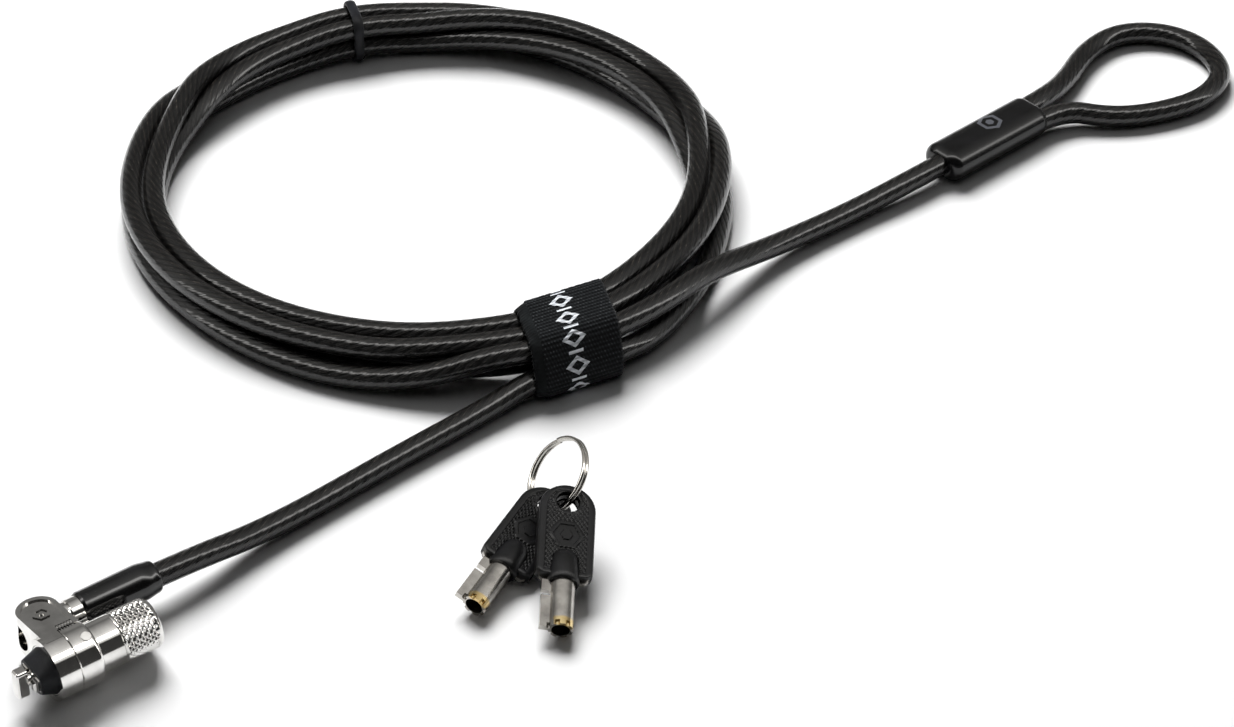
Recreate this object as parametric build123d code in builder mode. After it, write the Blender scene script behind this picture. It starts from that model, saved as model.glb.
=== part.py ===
"""Laptop cable lock: T-bar lock head, swivelling coated cable with an end loop, strap, tie and keys.

The origin is the centre of the nose face, where the rubber pad meets the device's security slot.
+X runs along the barrel towards the keyway, +Z is up, and everything lies on the plane z = FLOOR_Z.
All sizes are in millimetres.
"""

import os
from math import cos, exp, pi, radians, sin, tan

from build123d import *

# ---- driving dimensions -------------------------------------------------------------------------
BARREL_R = 7.0
FLOOR_Z = -BARREL_R

# stations along the barrel
TBAR_FRONT = -3.9
TBAR_BACK = -1.5
PRONG_FRONT = -1.3
PAD_BACK = 3.5
COLLAR_FRONT = 3.4
FLANGE_BACK = 4.5
COLLAR_BACK = 8.2
SHOULDER = 8.35
BLOCK_FRONT = 10.4
STEP = 13.9
GRIP_FRONT = 19.3
SHEAR_LINE = 19.45
RING_FRONT = 22.6
PLUG_BACK = 23.5
SHELL_BACK = 27.6
GRIP_BACK = 28.9

# radii in the head
RUNNING_GAP = 0.05
NECK_R = 1.35
SPINDLE_R = 1.8
SHAFT_R = 1.6
SPIGOT_R = 4.45
REAR_R = 5.8
TAIL_R = 5.3
BORE_R = 4.7
GRIP_R = 5.7
PLUG_R = 2.95
POST_R = 1.9

# the T-bar and the slot it locks into, 7 mm by 3 mm
TBAR_LENGTH = 6.8
TBAR_WIDTH = 2.8
PRONG_OUT = 3.4
PRONG_IN = 1.75

# tubular pin stacks
PIN_COUNT = 7
PIN_CIRCLE_R = 2.35
PIN_R = 0.42
PIN_HOLE_R = 0.47
TUMBLER_TRAVEL = 1.2
TUMBLER_STEPS = (0.5, 1.1, 0.3, 0.8, 0.5, 1.0, 0.2)

# the arched lug and the cable swivel in it
LUG_Y = 12.0
LUG_FRONT = 4.2
LUG_BACK = 13.4
LUG_R = (LUG_BACK - LUG_FRONT) / 2
LUG_BOTTOM = -4.2
LUG_SLOPE = 7.0
SWIVEL_SEAT = 10.2
SWIVEL_BORE_R = 2.3
FERRULE_BACK = 24.2
BOOT_FRONT = 18.4
BOOT_BACK = 37.0

# the cable
CABLE_D = 5.5
CABLE_R = CABLE_D / 2
CORE_R = 2.2
LIE_Z = FLOOR_Z + CABLE_R

# the coil: a bundle of four turns, pulled outwards where the strap holds it
COIL_X = 167.4
COIL_Y = 99.2
COIL_R = 69.2
STRAP_ANGLE = -100.0
STRAP_PULL = 6.8
STRAP_PULL_WIDTH = 25.0
TIE_ANGLE = 71.0
BUNDLE_HALF_WIDTH = 7.3
BUNDLE_TOP = 6.0
COIL_STATIONS = 18

# the moulded sleeve of the end loop
SLEEVE_X = 274.0
SLEEVE_Y = 30.07
SLEEVE_Z = -2.9
SLEEVE_TURN = 4.8
SLEEVE_LENGTH = 34.0
SLEEVE_WIDTH = 12.2
SLEEVE_HEIGHT = 8.2
CRIMP_START = 5.0
CRIMP_END = 26.4
LEG_OUT = 2.9

# strap and tie
STRAP_WIDTH = 20.0
STRAP_SHIFT = 2.0
STRAP_HELD = STRAP_WIDTH + 2 * STRAP_SHIFT
STRAP_THICKNESS = 1.8
TIE_WIDTH = 2.6
TIE_THICKNESS = 1.4

# keys: a tubular blade with a side rail, in a plate that the head is moulded over
KEY_TUBE_R = 2.7
KEY_BORE_R = 2.0
KEY_NECK = 12.0
KEY_LENGTH = 36.4
KEY_WIDTH = 11.5
KEY_HOLE = 32.3
KEY_HOLE_R = 2.5
KEY_BOSS = 6.5
KEY_BOSS_R = 3.4
KEY_RAIL_OUT = 4.2
KEY_THICKNESS = 3.2
KEY_WEB = 1.2
KEY_A = {"tip": (98.5, -50.3, -4.2), "heading": 51.0, "lift": 14.0, "roll": -12.5}
KEY_B = {"tip": (88.3, -33.0, -4.2), "heading": 25.0, "lift": 5.0, "roll": -23.0}
RING_R = 8.8
RING_WIRE_R = 0.45
RING_CENTRE = (122.3, -17.1, 4.3)
RING_NORMAL = (-0.724, 0.241, 0.646)


def in_sleeve(along, across):
    """Point inside the end loop's sleeve: so far along it, and so far to its left."""
    turn = radians(SLEEVE_TURN)
    x = SLEEVE_X + along * cos(turn) - across * sin(turn)
    y = SLEEVE_Y + along * sin(turn) + across * cos(turn)
    return (x, y, SLEEVE_Z)


# cable route, point by point where it isn't coiled
LEAD_ROUTE = [
    (FERRULE_BACK, LUG_Y, 0.0),
    (44.0, 12.0, 0.0),
    (68.0, 14.4, LIE_Z),
    (103.0, 18.0, LIE_Z),
    (129.0, 19.8, -4.1),
    (143.4, 20.7, -2.5),
]
FIRST_TURN_ROUTE = [
    (163.1, 17.3, -2.5),
    (176.0, 18.4, -4.1),
    (192.0, 25.2, LIE_Z),
    (208.0, 36.2, LIE_Z),
    (222.0, 51.5, LIE_Z),
]
TAIL_ROUTE = [
    (163.6, 20.3, 2.3),
    (178.0, 20.6, 2.4),
    (197.0, 25.0, 1.9),
    (219.0, 28.6, -3.2),
    (244.0, 29.2, LIE_Z),
    in_sleeve(-8.5, 0.0),
    in_sleeve(CRIMP_START, 0.0),
]
LOOP_ROUTE = [
    in_sleeve(CRIMP_END, LEG_OUT),
    in_sleeve(CRIMP_END + 13.9, LEG_OUT),
    (325.4, 40.2, -4.1),
    (338.7, 47.4, LIE_Z),
    (351.5, 49.2, LIE_Z),
    (361.6, 42.3, LIE_Z),
    (365.3, 30.6, LIE_Z),
    (361.0, 18.5, LIE_Z),
    (348.9, 13.2, LIE_Z),
    (335.5, 15.2, LIE_Z),
    (323.6, 20.8, -4.1),
    in_sleeve(CRIMP_END + 13.9, -LEG_OUT),
    in_sleeve(CRIMP_END, -LEG_OUT),
]


# ---- helpers ------------------------------------------------------------------------------------
def bar_x(start, end, radius, y=0.0, z=0.0, mode=Mode.ADD):
    """Add to, or cut from, the current part a round bar along X."""
    with BuildSketch(Plane.YZ.offset(start)) as section:
        with Locations((y, z)):
            Circle(radius)
    extrude(section.sketch, amount=end - start, mode=mode)


def pin_bars(start, end, radius, mode=Mode.ADD):
    """Add or cut one bar along X at each pin's place."""
    with BuildSketch(Plane.YZ.offset(start)) as section:
        with PolarLocations(PIN_CIRCLE_R, PIN_COUNT, start_angle=90):
            Circle(radius)
    extrude(section.sketch, amount=end - start, mode=mode)


def route_radii(points):
    """Fillet radius at each corner: 0.45 of the shorter run over the tangent of half the turn."""
    radii = []
    for before, here, after in zip(points, points[1:], points[2:]):
        run_in = Vector(*here) - Vector(*before)
        run_out = Vector(*after) - Vector(*here)
        turn = run_in.get_angle(run_out)
        radii.append(0.45 * min(run_in.length, run_out.length) / tan(radians(turn / 2)))
    return radii


def cable_tube(points, name):
    """Make the plain tube of the cable along a route, and print its radii and its volume."""
    radii = route_radii(points)
    with BuildPart() as tube:
        with BuildLine() as path:
            FilletPolyline(*points, radius=radii)
        with BuildSketch(Plane(origin=path.line @ 0, z_dir=path.line % 0)):
            Circle(CABLE_R)
        sweep()
    length = path.wires()[0].length
    expected = CABLE_R**2 * pi * length
    print(name, "radii", [round(r) for r in radii], "length", round(length, 1),
          "volume ratio", round(tube.part.volume / expected, 4))
    return tube


def bundle_radius(angle):
    """Distance from the coil's centre to the middle of the bundle."""
    return COIL_R + STRAP_PULL * exp(-(((angle - STRAP_ANGLE) / STRAP_PULL_WIDTH) ** 2))


def bundle_plane(angle, along=0.0):
    """Plane across the bundle: local x points outwards, local y up, and its origin is at z = 0."""
    a = radians(angle)
    outward = Vector(cos(a), sin(a), 0)
    tangent = Vector(-sin(a), cos(a), 0)
    centre = Vector(COIL_X, COIL_Y, 0) + outward * bundle_radius(angle) + tangent * along
    return Plane(origin=centre, x_dir=outward, z_dir=-tangent)


def key_plane(key, along=0.0):
    """Plane square to a key's blade: local x points sideways, local y out of the head's top face."""
    heading, lift, roll = radians(key["heading"]), radians(key["lift"]), radians(key["roll"])
    axis = Vector(cos(heading) * cos(lift), sin(heading) * cos(lift), sin(lift))
    level = Vector(sin(heading), -cos(heading), 0)
    side = level * cos(roll) + level.cross(axis) * sin(roll)
    return Plane(origin=Vector(*key["tip"]) + axis * along, x_dir=side, z_dir=axis)


def key_face_plane(key):
    """Plane of a key's flat: local x points sideways to the left, local y from the tip to the head."""
    across = key_plane(key)
    return Plane(origin=across.origin, x_dir=across.x_dir, z_dir=-across.y_dir)


def finish_part(builder, name):
    """Label a finished piece and write its STEP file."""
    builder.part.label = name
    export_step(builder.part, f"parts/{name}.step")


os.makedirs("parts", exist_ok=True)

# ---- T-bar and spindle --------------------------------------------------------------------------
with BuildPart() as t_bar:
    with BuildSketch(Plane.YZ.offset(TBAR_FRONT)):
        RectangleRounded(TBAR_WIDTH, TBAR_LENGTH, 0.7)
    extrude(amount=TBAR_BACK - TBAR_FRONT)
    chamfer(t_bar.faces().sort_by(Axis.X)[0].edges(), 0.35)
    bar_x(TBAR_BACK, FLANGE_BACK + 0.1, NECK_R)
    bar_x(FLANGE_BACK + 0.1, BLOCK_FRONT - 0.2, SPINDLE_R)
    with BuildSketch(Plane.YZ.offset(BLOCK_FRONT - 0.2)):
        Rectangle(1.2, 2.6)
    extrude(amount=1.6)
finish_part(t_bar, "t_bar")

# ---- slot guide: flange, two legs through the pad and the two prongs that fill the slot -----------
with BuildPart() as slot_guide:
    bar_x(PAD_BACK, FLANGE_BACK, 5.6)
    with BuildSketch(Plane.YZ):
        Rectangle(2 * PRONG_OUT, 3.4)
    extrude(amount=PAD_BACK)
    with BuildSketch(Plane.YZ.offset(PRONG_FRONT)):
        for side in (-1, 1):
            with Locations((side * (PRONG_OUT + PRONG_IN) / 2, 0)):
                Rectangle(PRONG_OUT - PRONG_IN, 2.6)
    extrude(amount=-PRONG_FRONT)
    chamfer(slot_guide.faces().filter_by(Plane.YZ).group_by(Axis.X)[0].edges(), 0.45)
    bar_x(PRONG_FRONT - 1, FLANGE_BACK, NECK_R + RUNNING_GAP, mode=Mode.SUBTRACT)
finish_part(slot_guide, "slot_guide")

# ---- rubber pad that wedges against the device ----------------------------------------------------
with BuildPart() as rubber_pad:
    with BuildSketch(Plane.YZ):
        RectangleRounded(8.4, 5.4, 1.8)
    with BuildSketch(Plane.YZ.offset(PAD_BACK)):
        RectangleRounded(10.6, 10.6, 5.2)
    loft()
    with BuildSketch(Plane.YZ):
        Rectangle(2 * PRONG_OUT, 3.4)
    extrude(amount=PAD_BACK, mode=Mode.SUBTRACT)
finish_part(rubber_pad, "rubber_pad")

# ---- chrome shell of the head ---------------------------------------------------------------------
PIN_X = 12.2
PIN_LEAN = 20.0
pin_plane = Plane(
    origin=(PIN_X, 0, 0),
    x_dir=(1, 0, 0),
    z_dir=(0, -sin(radians(PIN_LEAN)), cos(radians(PIN_LEAN))),
)

with BuildPart() as head_shell:
    bar_x(SHOULDER, STEP, BARREL_R)
    fillet(head_shell.faces().sort_by(Axis.X)[-1].edges(), 0.9)
    chamfer(head_shell.faces().sort_by(Axis.X)[0].edges(), 0.2)
    bar_x(FLANGE_BACK, SHOULDER, SPIGOT_R)
    bar_x(STEP, GRIP_FRONT, REAR_R)
    bar_x(GRIP_FRONT, SHELL_BACK, TAIL_R)
    bar_x(FLANGE_BACK, BLOCK_FRONT - 0.1, 3.0, mode=Mode.SUBTRACT)
    bar_x(BLOCK_FRONT - 0.1, SHELL_BACK, BORE_R, mode=Mode.SUBTRACT)
    with BuildSketch(pin_plane.offset(BORE_R - 1)):
        Circle(1.2)
    extrude(amount=5, mode=Mode.SUBTRACT)
finish_part(head_shell, "head_shell")

with BuildPart() as retaining_pin:
    with BuildSketch(pin_plane.offset(3.4)):
        Circle(1.2)
    extrude(amount=BARREL_R + 0.08 - 3.4)
    chamfer(retaining_pin.faces().sort_by(Axis.Z)[-1].edges(), 0.15)
finish_part(retaining_pin, "retaining_pin")

with BuildPart() as spindle_bush:
    bar_x(FLANGE_BACK + 0.1, COLLAR_BACK, 3.0)
    bar_x(FLANGE_BACK + 0.1, COLLAR_BACK, SPINDLE_R + RUNNING_GAP, mode=Mode.SUBTRACT)
finish_part(spindle_bush, "spindle_bush")

# ---- rotating collar with the arched lug that holds the cable swivel -------------------------------
lug_top = Plane(
    origin=(0, 0, BARREL_R / cos(radians(LUG_SLOPE))),
    x_dir=(1, 0, 0),
    z_dir=(0, sin(radians(LUG_SLOPE)), cos(radians(LUG_SLOPE))),
)
LUG_X = (LUG_FRONT + LUG_BACK) / 2
PANEL_INSET = 1.0
PANEL_DEPTH = 0.35
PANEL_BASE = 4.6

with BuildPart() as cable_collar:
    with BuildSketch(Plane.XY.offset(LUG_BOTTOM)):
        with Locations((LUG_X, LUG_Y)):
            Circle(LUG_R)
        with Locations((LUG_X, LUG_Y / 2)):
            Rectangle(2 * LUG_R, LUG_Y)
    extrude(amount=3 * BARREL_R)
    split(bisect_by=lug_top, keep=Keep.BOTTOM)
    with BuildSketch(lug_top):
        with Locations((LUG_X, LUG_Y)):
            Circle(LUG_R - PANEL_INSET)
        with Locations((LUG_X, (LUG_Y + PANEL_BASE) / 2)):
            Rectangle(2 * (LUG_R - PANEL_INSET), LUG_Y - PANEL_BASE)
    extrude(amount=-PANEL_DEPTH, mode=Mode.SUBTRACT)
    with BuildSketch(lug_top.offset(-PANEL_DEPTH)):
        with Locations((LUG_X, LUG_Y - 1.6)):
            RegularPolygon(2.1, 6)
            RegularPolygon(1.4, 6, mode=Mode.SUBTRACT)
            Circle(0.6)
    extrude(amount=PANEL_DEPTH - 0.05)
    bar_x(COLLAR_BACK, LUG_BACK, BARREL_R + 0.25, mode=Mode.SUBTRACT)
    bar_x(COLLAR_FRONT, COLLAR_BACK, BARREL_R)
    bar_x(COLLAR_FRONT, FLANGE_BACK + 0.1, 5.68, mode=Mode.SUBTRACT)
    bar_x(FLANGE_BACK, COLLAR_BACK, SPIGOT_R + RUNNING_GAP, mode=Mode.SUBTRACT)
    bar_x(COLLAR_BACK - 0.35, COLLAR_BACK, 6.15, mode=Mode.SUBTRACT)
    bar_x(LUG_FRONT, SWIVEL_SEAT, 3.0, y=LUG_Y, mode=Mode.SUBTRACT)
    bar_x(SWIVEL_SEAT, LUG_BACK, SWIVEL_BORE_R, y=LUG_Y, mode=Mode.SUBTRACT)
    for tooth in range(6):
        with BuildSketch(Plane.XZ.offset(-2.6)):
            with Locations((COLLAR_BACK + 0.6 + 0.65 * tooth, BARREL_R - 0.45)):
                Circle(0.22)
        extrude(amount=-1.7, mode=Mode.SUBTRACT)
finish_part(cable_collar, "cable_collar")

with BuildPart() as collar_spring_washer:
    bar_x(COLLAR_BACK - 0.2, SHOULDER, 6.0)
    bar_x(COLLAR_BACK - 0.2, SHOULDER, SPIGOT_R, mode=Mode.SUBTRACT)
finish_part(collar_spring_washer, "collar_spring_washer")

# ---- lock mechanism -------------------------------------------------------------------------------
DRIVER_HOLE_FRONT = 14.0
SPRING_BACK = 17.35

with BuildPart() as pin_block:
    bar_x(BLOCK_FRONT, SHEAR_LINE - 0.05, BORE_R)
    bar_x(BLOCK_FRONT, SHEAR_LINE, SHAFT_R + RUNNING_GAP, mode=Mode.SUBTRACT)
    pin_bars(DRIVER_HOLE_FRONT, SHEAR_LINE, PIN_HOLE_R, mode=Mode.SUBTRACT)
    with BuildSketch(pin_plane.offset(3.4)):
        Circle(1.2)
    extrude(amount=3, mode=Mode.SUBTRACT)
finish_part(pin_block, "pin_block")

with BuildPart() as core_housing:
    bar_x(SHEAR_LINE, RING_FRONT - 0.1, BORE_R)
    bar_x(SHEAR_LINE, RING_FRONT - 0.1, PLUG_R + RUNNING_GAP, mode=Mode.SUBTRACT)
finish_part(core_housing, "core_housing")

with BuildPart() as key_plug:
    bar_x(SHEAR_LINE + 0.05, PLUG_BACK, PLUG_R)
    bar_x(BLOCK_FRONT, SHEAR_LINE + 0.05, SHAFT_R)
    bar_x(PLUG_BACK, SHELL_BACK, POST_R)
    chamfer(key_plug.faces().sort_by(Axis.X)[-1].edges(), 0.3)
    pin_bars(SHEAR_LINE, PLUG_BACK, PIN_HOLE_R, mode=Mode.SUBTRACT)
    with BuildSketch(Plane.YZ.offset(BLOCK_FRONT)):
        Rectangle(1.2, 2.6)
    extrude(amount=1.4, mode=Mode.SUBTRACT)
finish_part(key_plug, "key_plug")

with BuildPart() as driver_pins:
    pin_bars(SPRING_BACK + 0.05, SHEAR_LINE - 0.1, PIN_R)
finish_part(driver_pins, "driver_pins")

with BuildPart() as pin_springs:
    with BuildSketch(Plane.YZ.offset(DRIVER_HOLE_FRONT)):
        with PolarLocations(PIN_CIRCLE_R, PIN_COUNT, start_angle=90):
            Circle(0.38)
            Circle(0.24, mode=Mode.SUBTRACT)
    extrude(amount=SPRING_BACK - DRIVER_HOLE_FRONT)
finish_part(pin_springs, "pin_springs")

with BuildPart() as tumbler_pins:
    for place, step in enumerate(TUMBLER_STEPS):
        turn = radians(90 + 360 / PIN_COUNT * place)
        with BuildSketch(Plane.YZ.offset(SHEAR_LINE + 0.1 + TUMBLER_TRAVEL)):
            with Locations((PIN_CIRCLE_R * cos(turn), PIN_CIRCLE_R * sin(turn))):
                Circle(PIN_R)
        extrude(amount=PLUG_BACK + step - SHEAR_LINE - 0.1 - TUMBLER_TRAVEL)
finish_part(tumbler_pins, "tumbler_pins")

RAIL_SLOT_WIDTH = 1.9
RAIL_SLOT_OUT = 4.35

with BuildPart() as keyway_ring:
    bar_x(RING_FRONT, GRIP_BACK - 0.6, BORE_R - RUNNING_GAP)
    bar_x(RING_FRONT, PLUG_BACK, PLUG_R, mode=Mode.SUBTRACT)
    bar_x(PLUG_BACK, GRIP_BACK, PLUG_R, mode=Mode.SUBTRACT)
    with BuildSketch(Plane.YZ.offset(PLUG_BACK)):
        with Locations((0, RAIL_SLOT_OUT / 2)):
            Rectangle(RAIL_SLOT_WIDTH, RAIL_SLOT_OUT)
    extrude(amount=GRIP_BACK - PLUG_BACK, mode=Mode.SUBTRACT)
finish_part(keyway_ring, "keyway_ring")

with BuildPart() as knurled_grip:
    bar_x(GRIP_FRONT, GRIP_BACK, GRIP_R)
    fillet(knurled_grip.faces().sort_by(Axis.X)[-1].edges(), 0.9)
    bar_x(GRIP_FRONT, SHELL_BACK, TAIL_R, mode=Mode.SUBTRACT)
    bar_x(SHELL_BACK, GRIP_BACK - 0.5, BORE_R, mode=Mode.SUBTRACT)
    bar_x(SHELL_BACK, GRIP_BACK, RAIL_SLOT_OUT, mode=Mode.SUBTRACT)
finish_part(knurled_grip, "knurled_grip")

# ---- cable swivel, boot and crimped core -----------------------------------------------------------
with BuildPart() as swivel_stud:
    bar_x(8.5, 9.0, 1.9, y=LUG_Y)
    bar_x(9.0, 10.1, 1.3, y=LUG_Y)
    bar_x(10.1, LUG_BACK + 0.15, SWIVEL_BORE_R - RUNNING_GAP, y=LUG_Y)
    bar_x(LUG_BACK + 0.15, 15.4, 3.3, y=LUG_Y)
    bar_x(15.4, 15.8, 2.8, y=LUG_Y)
    bar_x(15.8, BOOT_FRONT - 0.1, 3.5, y=LUG_Y)
    bar_x(BOOT_FRONT - 0.1, FERRULE_BACK, 2.95, y=LUG_Y)
    bar_x(BOOT_FRONT, FERRULE_BACK, CORE_R, y=LUG_Y, mode=Mode.SUBTRACT)
finish_part(swivel_stud, "swivel_stud")

with BuildPart() as swivel_washer:
    bar_x(9.0, 10.0, 2.85, y=LUG_Y)
    bar_x(9.0, 10.0, 1.3, y=LUG_Y, mode=Mode.SUBTRACT)
finish_part(swivel_washer, "swivel_washer")

with BuildPart() as cable_boot:
    with BuildSketch(Plane.XY):
        with BuildLine():
            nose = Line((BOOT_FRONT, LUG_Y), (BOOT_FRONT, LUG_Y + 3.7))
            shoulder = Line(nose @ 1, (BOOT_FRONT + 0.6, LUG_Y + 4.0))
            flank = Line(shoulder @ 1, (32.6, LUG_Y + 4.15))
            dome = Spline(flank @ 1, (35.9, LUG_Y + 3.75), (BOOT_BACK, LUG_Y + CABLE_R + 0.25),
                          tangents=(flank % 1, (0, -1)))
            Line(dome @ 1, (BOOT_BACK, LUG_Y))
            Line((BOOT_BACK, LUG_Y), nose @ 0)
        make_face()
    revolve(axis=Axis((0, LUG_Y, 0), (1, 0, 0)))
    bar_x(BOOT_FRONT, FERRULE_BACK, 2.95, y=LUG_Y, mode=Mode.SUBTRACT)
    bar_x(FERRULE_BACK, BOOT_BACK, CABLE_R, y=LUG_Y, mode=Mode.SUBTRACT)
finish_part(cable_boot, "cable_boot")

with BuildPart() as cable_core_end:
    bar_x(BOOT_FRONT, FERRULE_BACK, CORE_R, y=LUG_Y)
finish_part(cable_core_end, "cable_core_end")

# ---- cable ------------------------------------------------------------------------------------------
cable_lead = cable_tube(LEAD_ROUTE, "cable_lead")
finish_part(cable_lead, "cable_lead")

cable_tail = cable_tube(TAIL_ROUTE, "cable_tail")
finish_part(cable_tail, "cable_tail")

cable_loop = cable_tube(LOOP_ROUTE, "cable_loop")
finish_part(cable_loop, "cable_loop")

first_turn = cable_tube(FIRST_TURN_ROUTE, "first_turn")

# section of the bundle where the strap and the tie hold it: outward and upward from the bundle's middle
STRAP_SECTION = [(-8.4, 2.3), (2.5, 2.3), (5.4, -2.45), (-0.15, -2.45)]
TIE_SECTION = [(-2.75, -2.85), (2.75, -2.85), (2.75, 2.65), (-2.75, 2.65)]


def bundle_hull(points, growth):
    """Sketch the outline of a tight band around cables at these places."""
    circles = [Pos(x, y) * Edge.make_circle(CABLE_R + growth) for x, y in points]
    make_hull(circles)


def band(angle, width, thickness, section, shift=0.0):
    """Make a band of one thickness around the bundle, moved along it by the shift."""
    plane = bundle_plane(angle, width / 2 + shift)
    with BuildPart() as piece:
        with BuildSketch(plane) as outside:
            bundle_hull(section, thickness)
        extrude(outside.sketch, amount=width)
        with BuildSketch(plane) as inside:
            bundle_hull(section, 0.0)
        extrude(inside.sketch, amount=width, mode=Mode.SUBTRACT)
    return piece


def held_bundle(angle, width, section):
    """Make the part of the bundle that a band holds."""
    with BuildPart() as piece:
        with BuildSketch(bundle_plane(angle, width / 2)) as inside:
            bundle_hull(section, 0.0)
        extrude(inside.sketch, amount=width)
    return piece


strap = band(STRAP_ANGLE, STRAP_WIDTH, STRAP_THICKNESS, STRAP_SECTION, STRAP_SHIFT)
finish_part(strap, "strap")

tie_ring = band(TIE_ANGLE, TIE_WIDTH, TIE_THICKNESS, TIE_SECTION)
finish_part(tie_ring, "tie_ring")

coil_angles = [STRAP_ANGLE + 360 / COIL_STATIONS * (i + 0.5) for i in range(COIL_STATIONS)]
coil_points = [
    (
        COIL_X + bundle_radius((a + 280) % 360 - 280) * cos(radians(a)),
        COIL_Y + bundle_radius((a + 280) % 360 - 280) * sin(radians(a)),
        (BUNDLE_TOP + FLOOR_Z) / 2,
    )
    for a in coil_angles
]
coil_radii = route_radii([coil_points[-1], *coil_points, coil_points[0]])
print("coil radii", [round(r) for r in coil_radii])

with BuildPart() as cable_coil:
    with BuildLine() as coil_path:
        FilletPolyline(*coil_points, radius=min(coil_radii), close=True)
    with BuildSketch(Plane(origin=coil_path.line @ 0, z_dir=coil_path.line % 0, x_dir=(0, 0, 1))):
        Ellipse((BUNDLE_TOP - FLOOR_Z) / 2, BUNDLE_HALF_WIDTH)
    sweep()
    for angle, width in ((STRAP_ANGLE, STRAP_HELD), (TIE_ANGLE, TIE_WIDTH)):
        with BuildSketch(bundle_plane(angle, width / 2)):
            Rectangle(40, 30)
        extrude(amount=width, mode=Mode.SUBTRACT)
    add(held_bundle(STRAP_ANGLE, STRAP_HELD, STRAP_SECTION).part)
    add(held_bundle(TIE_ANGLE, TIE_WIDTH, TIE_SECTION).part)
    add(first_turn.part)
finish_part(cable_coil, "cable_coil")

# ---- end loop: swaged crimp inside a moulded sleeve --------------------------------------------------
sleeve_plane = Plane(
    origin=(SLEEVE_X, SLEEVE_Y, SLEEVE_Z),
    x_dir=(-sin(radians(SLEEVE_TURN)), cos(radians(SLEEVE_TURN)), 0),
    z_dir=(cos(radians(SLEEVE_TURN)), sin(radians(SLEEVE_TURN)), 0),
)

with BuildPart() as loop_crimp:
    with BuildSketch(sleeve_plane.offset(CRIMP_START)):
        SlotOverall(10.4, 5.4)
    extrude(amount=CRIMP_END - CRIMP_START)
finish_part(loop_crimp, "loop_crimp")

with BuildPart() as loop_sleeve:
    with BuildSketch(sleeve_plane):
        SlotOverall(SLEEVE_WIDTH, SLEEVE_HEIGHT)
    extrude(amount=SLEEVE_LENGTH)
    rims = loop_sleeve.faces().filter_by(sleeve_plane)
    fillet(rims.edges(), 2.4)
    with BuildSketch(sleeve_plane):
        Circle(CABLE_R)
    extrude(amount=CRIMP_START, mode=Mode.SUBTRACT)
    add(loop_crimp.part, mode=Mode.SUBTRACT)
    with BuildSketch(sleeve_plane.offset(CRIMP_END)):
        with Locations((-LEG_OUT, 0), (LEG_OUT, 0)):
            Circle(CABLE_R)
    extrude(amount=SLEEVE_LENGTH, mode=Mode.SUBTRACT)
finish_part(loop_sleeve, "loop_sleeve")

# ---- keys and their ring ----------------------------------------------------------------------------
def key_tube(key, name):
    """Make the tubular blade: thin tube, seven bitting cuts around the tip, side rail and neck."""
    with BuildPart() as piece:
        with BuildSketch(key_plane(key)):
            Circle(KEY_TUBE_R)
        extrude(amount=KEY_NECK + 6)
        with BuildSketch(key_plane(key)):
            with Locations((-(KEY_TUBE_R + KEY_RAIL_OUT) / 2, 0)):
                Rectangle(KEY_RAIL_OUT - KEY_TUBE_R + 1.0, 1.4)
        extrude(amount=KEY_NECK)
        with BuildSketch(key_plane(key, 8.0)):
            with Locations((-KEY_TUBE_R - 1.0, 0)):
                Rectangle(2.0, 2.0)
        extrude(amount=1.4, mode=Mode.SUBTRACT)
        with BuildSketch(key_plane(key)):
            Circle(KEY_BORE_R)
        extrude(amount=KEY_NECK - 1, mode=Mode.SUBTRACT)
        with BuildSketch(key_plane(key)):
            with PolarLocations(KEY_TUBE_R, PIN_COUNT, start_angle=90):
                Circle(0.55)
        extrude(amount=1.1, mode=Mode.SUBTRACT)
        with BuildSketch(key_face_plane(key)):
            with Locations((0, (KEY_NECK + KEY_LENGTH) / 2)):
                Rectangle(KEY_WIDTH, KEY_LENGTH - KEY_NECK)
        extrude(amount=0.55, both=True, mode=Mode.SUBTRACT)
    finish_part(piece, name)


def head_outline(plane, width, start, end, corner):
    """Sketch a key head: a rounded rectangle with a bow that's a semicircle at the top."""
    half = width / 2
    with BuildSketch(plane) as outline:
        with BuildLine():
            Line((-half + corner, start), (half - corner, start))
            Line((half - corner, start), (half, start + corner))
            Line((half, start + corner), (half, end - half))
            ThreePointArc((half, end - half), (0, end), (-half, end - half))
            Line((-half, end - half), (-half, start + corner))
            Line((-half, start + corner), (-half + corner, start))
        make_face()
    return outline.sketch


def key_plate(key, name):
    """Make the steel plate that the head is moulded over; it shows at the shoulders."""
    with BuildPart() as piece:
        outline = head_outline(key_face_plane(key), KEY_WIDTH - 0.6, KEY_NECK + 0.2, KEY_LENGTH - 0.8, 0.8)
        extrude(outline, amount=0.5, both=True)
        with BuildSketch(key_face_plane(key)):
            with Locations((0, KEY_HOLE)):
                Circle(KEY_HOLE_R + 0.7)
        extrude(amount=1.0, both=True, mode=Mode.SUBTRACT)
    finish_part(piece, name)
    return piece


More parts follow.
